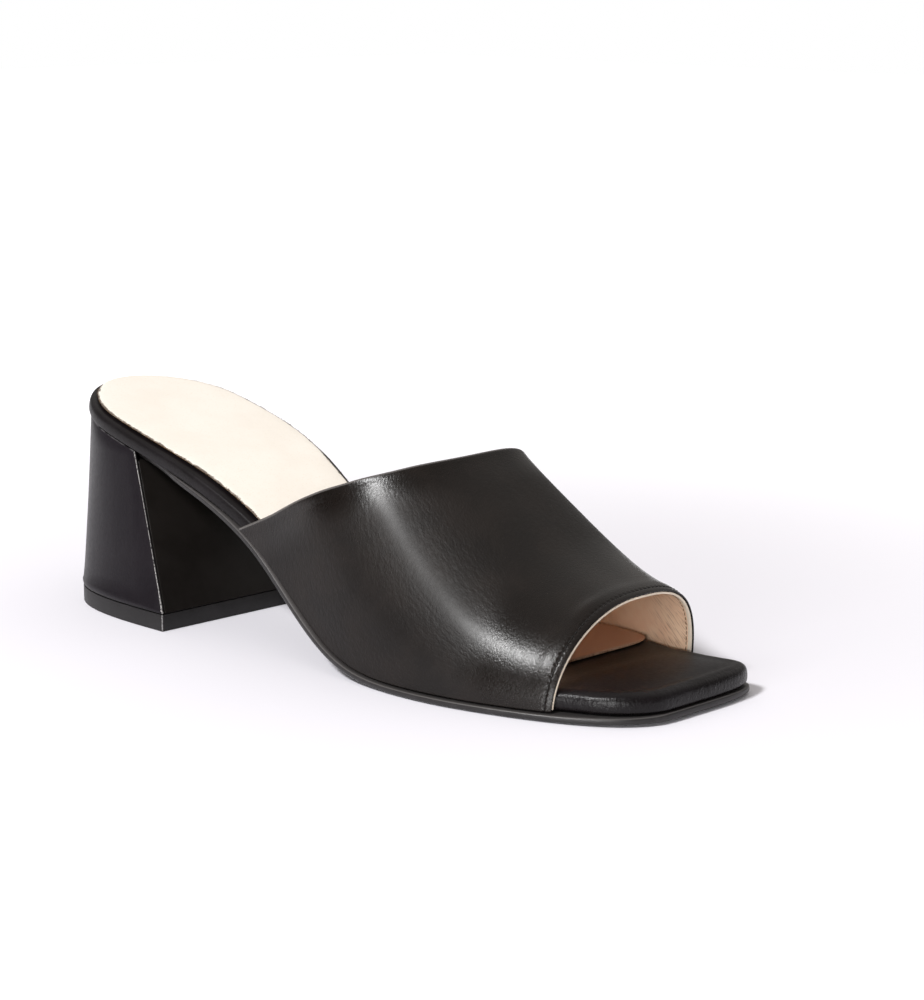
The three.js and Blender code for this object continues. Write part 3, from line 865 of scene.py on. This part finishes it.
def makeFootbed():
    piece = copyOf("footbed", "footbed_leather")
    smoother(piece, 2)
    insetOf = insetFrom([v for v in piece.data.vertices if abs(v.normal.z) < footbedLook["sideSlope"]])
    low, start, end, high = footbedLook["flareAt"]
    size = footbedLook["foldSize"] * mm

    def shaped(v):
        x, z = v.co.x / mm, v.co.z / mm
        flare = footbedLook["flare"] * ramp(x, low, start) * (1 - ramp(x, end, high))
        sideways = min(1.0, max(-1.0, v.normal.y * footbedLook["flareGain"]))
        inset, pad = insetOf(v), ramp(x, *footbedLook["padAt"])
        upperHalf = ramp(z, *footbedLook["padHeight"]) * pad
        drop = footbedLook["roundDrop"] * max(0.0, 1 - inset / footbedLook["roundReach"]) ** 2 * upperHalf
        drop -= footbedLook["bead"] * hump(inset, *footbedLook["beadAt"]) * upperHalf
        fold = noise.noise(Vector((v.co.x / size, v.co.y / size, v.co.z / size / footbedLook["foldTall"])))
        share = footbedLook["fold"] * pad * max(0.0, 1 - inset / footbedLook["foldReach"])
        fold *= share * ramp(z, *footbedLook["foldHeight"])
        return Vector((0, sideways * flare, -drop)) * mm + v.normal * fold * mm

    def gathered(v):
        share = 1 - insetOf(v) / footbedLook["gatherReach"]
        return ramp(v.co.x / mm, *footbedLook["padAt"]) * max(0.0, share)

    mark(piece, "gathered", gathered)
    push(piece, shaped)
    dress(piece, "footbed_leather", black["footbed_leather"])
    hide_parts("footbed")


makeFootbed()
print("footbed padded")


def makeOutsole():
    piece = copyOf("outsole", "outsole_edge")
    smoother(piece, 2)
    # marks where the edge turns up, for its painted highlight
    mark(piece, "highlitLip", lambda v: hump(v.normal.z, outsoleLook["highlitLipSlope"], outsoleLook["highlitLipWidth"]))
    dress(piece, "outsole_edge", finishes["outsole"])
    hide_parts("outsole")


makeOutsole()
print("outsole finished")

fibreLook = {
    "count": 420, "length": (0.4, 1.1), "radius": 0.075, "lean": 0.7, "rise": 0.5, "rooted": 0.35,
    "rough": 0.3, "roughSize": 0.9,
}
# parts of a normal: the sock's top faces up by more, its rim sideways by more and down by less
sockSlopes = {"top": 0.45, "rimSideways": 0.55, "rimUp": -0.1}


def makeFibres(rim):
    # loose fibres that stick out of the cut edge
    draw = random.Random(11)
    lean = fibreLook["lean"]
    fibres = []
    for _ in range(fibreLook["count"]):
        v = draw.choice(rim)
        length = draw.uniform(*fibreLook["length"]) * mm
        leaning = Vector([draw.uniform(-lean, lean) for _ in range(3)])
        aim = (v.normal + leaning + Vector((0, 0, fibreLook["rise"]))).normalized()
        bpy.ops.mesh.primitive_cone_add(
            vertices=3, radius1=fibreLook["radius"] * mm, depth=length,
            location=v.co + aim * length * fibreLook["rooted"],
            rotation=aim.to_track_quat("Z", "Y").to_euler())
        fibres.append(bpy.context.object)
    deselectAll()
    for fibre in fibres:
        fibre.select_set(True)
    bpy.context.view_layer.objects.active = fibres[0]
    bpy.ops.object.join()
    loose = bpy.context.object
    loose.name = loose.data.name = "sock_fibres"
    bpy.ops.object.transform_apply(location=True, rotation=True, scale=True)
    dress(loose, "sock_leather", finishes["sockEdge"])


def makeSock():
    piece = copyOf("sock", "sock_leather")
    piece.data.materials.append(finishes["sock"])
    piece.data.materials.append(finishes["sockEdge"])
    for face in piece.data.polygons:
        face.material_index = 0 if face.normal.z > sockSlopes["top"] else 1
    smoother(piece, 2)
    sideways, up = sockSlopes["rimSideways"], sockSlopes["rimUp"]
    rim = [v for v in piece.data.vertices if abs(v.normal.y) > sideways and v.normal.z > up]
    mark(piece, "inset", insetFrom(rim))
    size = fibreLook["roughSize"] * mm
    rimSet = {v.index for v in rim}
    push(piece, lambda v: v.normal * noise.noise(v.co / size) * fibreLook["rough"] * mm * (v.index in rimSet))
    makeFibres(rim)
    dress(piece, "sock_leather")
    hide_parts("sock")


makeSock()
print("sock laid in")


def edgesBetween(piece, isOne, isOther):
    # the edges where a face of one kind meets a face of another, as pairs of places
    skin = bmesh.new()
    skin.from_mesh(piece.data)
    skin.normal_update()
    pairs = []
    for edge in skin.edges:
        faces = list(edge.link_faces)
        if len(faces) == 2 and any(isOne(f) and isOther(g) for f, g in (faces, faces[::-1])):
            pairs.append([v.co.copy() for v in edge.verts])
    skin.free()
    return pairs


def cutRings(piece, axis, stops):
    # extra rings of vertices round a piece, to shape it with
    for stop in stops:
        choose(piece, "vertices", lambda v: True)
        bpy.ops.mesh.select_all(action="SELECT")
        bpy.ops.mesh.bisect(plane_co=axis * stop, plane_no=axis)
        bpy.ops.object.mode_set(mode="OBJECT")


heelLook = {
    "blockRound": 0.3, "liftRound": 0.35, "corner": 0.2,
    "roll": 0.4, "rollAt": 1.1, "rollWidth": 0.7, "waist": 0.3, "waistHeight": 50,
    "rings": (0.5, 1.1, 1.8, 6, 12, 18, 24, 30, 36, 42),  # heights on the cover
    "topFrom": 3, "liftRings": 1,  # the cover's top lies above this. how far beside the lift's corners
}
# parts of a normal, by which the faces of the block, the cover and the lift are told apart
heelSlopes = {"breast": 0.4, "cut": 0.9, "upright": 0.6, "sideways": 0.05, "lift": 0.7}


def makeBlock():
    # returns the direction that the breast faces
    piece = copyOf("heel", "heel_breast")
    forward = [f for f in piece.data.polygons if f.normal.x > heelSlopes["breast"]]
    front = max(forward, key=lambda f: f.area).normal.copy()
    roundEdges(piece, heelLook["blockRound"], 3)
    dress(piece, "heel_breast", black["heel_breast"])
    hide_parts("heel")
    return front


def makeCover(front):
    low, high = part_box("heel_cover")
    middle = (low + high) / 2

    def isCut(face):
        return face.normal.dot(front) > heelSlopes["cut"]

    def isOuter(face):
        away = face.calc_center_median() - middle
        outwards = face.normal.x * away.x + face.normal.y * away.y > 0
        return abs(face.normal.z) < heelSlopes["upright"] and not isCut(face) and outwards

    def isTop(face):
        above = face.calc_center_median().z > low.z + heelLook["topFrom"] * mm
        return not isOuter(face) and not isCut(face) and above

    def shaped(v):
        height = (v.co.z - low.z) / mm
        out = Vector((v.normal.x, v.normal.y, 0))
        out -= front * out.dot(front)
        if out.length < heelSlopes["sideways"] or out.dot(v.co - middle) < 0:
            return Vector()
        roll = heelLook["roll"] * hump(height, heelLook["rollAt"], heelLook["rollWidth"])
        waist = heelLook["waist"] * math.sin(math.pi * min(1, height / heelLook["waistHeight"]))
        return out.normalized() * (roll - waist) * mm

    piece = copyOf("heel_cover", "heel_leather")
    corners = edgesBetween(piece, isCut, isOuter)
    tops = edgesBetween(piece, isTop, isOuter)
    piece.data.materials.append(black["heel_leather"])
    piece.data.materials.append(finishes["coverEdge"])
    for face in piece.data.polygons:
        face.material_index = 1 if isCut(face) else 0
    cutRings(piece, Vector((0, 0, 1)), [low.z + height * mm for height in heelLook["rings"]])
    push(piece, shaped)
    roundEdges(piece, heelLook["corner"], 2)
    nearCorner, nearTop = nearTo(corners), nearTo(tops)
    mark(piece, "rims", lambda v: (nearCorner(v.co)[0] / mm, nearTop(v.co)[0] / mm, 0), "FLOAT_VECTOR")
    dress(piece, "heel_leather")
    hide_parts("heel_cover")


def makeLift():
    piece = copyOf("top_lift", "heel_lift")
    slope = heelSlopes["lift"]
    edges = edgesBetween(piece, lambda f: f.normal.x > slope, lambda f: abs(f.normal.y) > slope)
    gap = heelLook["liftRings"] * mm
    cutRings(piece, Vector((0, 1, 0)), [pair[0].y + step for pair in edges for step in (-gap, gap)])
    cutRings(piece, Vector((1, 0, 0)), [edges[0][0].x - gap])
    roundEdges(piece, heelLook["liftRound"], 3)
    nearEdge = nearTo(edges)
    mark(piece, "rims", lambda v: (nearEdge(v.co)[0] / mm, 0, 0), "FLOAT_VECTOR")
    dress(piece, "top_lift", finishes["lift"])
    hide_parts("top_lift")


makeCover(makeBlock())
makeLift()
print("heel covered")


def makeFloor():
    deselectAll()
    bpy.ops.mesh.primitive_plane_add(size=studio["floorSize"], location=(0, 0, -studio["floorDrop"]))
    floor = bpy.context.object
    floor.name = "floor"
    glow, shine = studio["floorGlow"], studio["floorShine"]
    paper = Paint("floor_paper", Specular_IOR_Level=shine, Emission_Strength=glow)
    reach = paper.add("ShaderNodeVectorMath", {"operation": "LENGTH"}, {0: paper.place}, "Value")
    glowing = paper.blend(reach, (studio["glowFrom"], studio["glowTo"]), (0, 0, 0), (1, 1, 1))
    floor.data.materials.append(paper.finish(
        Base_Color=rgb(*studio["floorColour"]), Roughness=studio["floorRoughness"], Emission_Color=glowing))


def makeLights():
    for name, box in softBoxes.items():
        direction = fromAround(box["azimuth"], box["elevation"])
        place = direction * box["distance"] + Vector((0, 0, studio["lampsAbove"]))
        bpy.ops.object.light_add(type="AREA", location=place)
        lamp = bpy.context.object
        lamp.name = name + "_light"
        lamp.rotation_euler = direction.to_track_quat("Z", "Y").to_euler()
        lamp.data.shape = "RECTANGLE"
        lamp.data.size, lamp.data.size_y = box["size"]
        lamp.data.energy = box["watts"]


def makeSurroundings():
    # white paper to the eye, and a softer light on the shoe, brighter overhead and behind it
    world = bpy.data.worlds.new("studio")
    bpy.context.scene.world = world
    world.use_nodes = True
    sky = Nodes(world.node_tree)
    around = sky.add("ShaderNodeTexCoord", {}, {}, "Generated")
    height = sky.add("ShaderNodeSeparateXYZ", {}, {0: around}, "Z")
    given = {"Value": height, "To Min": studio["lightLow"], "To Max": studio["lightHigh"]}
    upwards = sky.add("ShaderNodeMapRange", {}, given)
    given = {0: around, 1: fromAround(*studio["behind"])}
    facing = sky.add("ShaderNodeVectorMath", {"operation": "DOT_PRODUCT"}, given, "Value")
    low, high = studio["behindSpread"]
    given = {"Value": facing, "From Min": low, "From Max": high, "To Max": studio["lightBehind"]}
    behind = sky.add("ShaderNodeMapRange", {"interpolation_type": "SMOOTHSTEP"}, given)
    light = sky.nodes["Background"]
    sky.join(light.inputs[0], rgb(*studio["lightColour"]))
    sky.join(light.inputs[1], upwards + behind)
    seen = sky.add("ShaderNodeBackground", {}, {0: rgb(1, 1, 1), 1: studio["paperSeen"]})
    ray = sky.add("ShaderNodeLightPath", {}, {}, "Is Camera Ray")
    mixed = sky.add("ShaderNodeMixShader", {}, {0: ray, 1: Wire(sky, light.outputs[0]), 2: seen})
    sky.join(sky.nodes["World Output"].inputs[0], mixed)


makeFloor()
makeLights()
makeSurroundings()
print("studio lit")
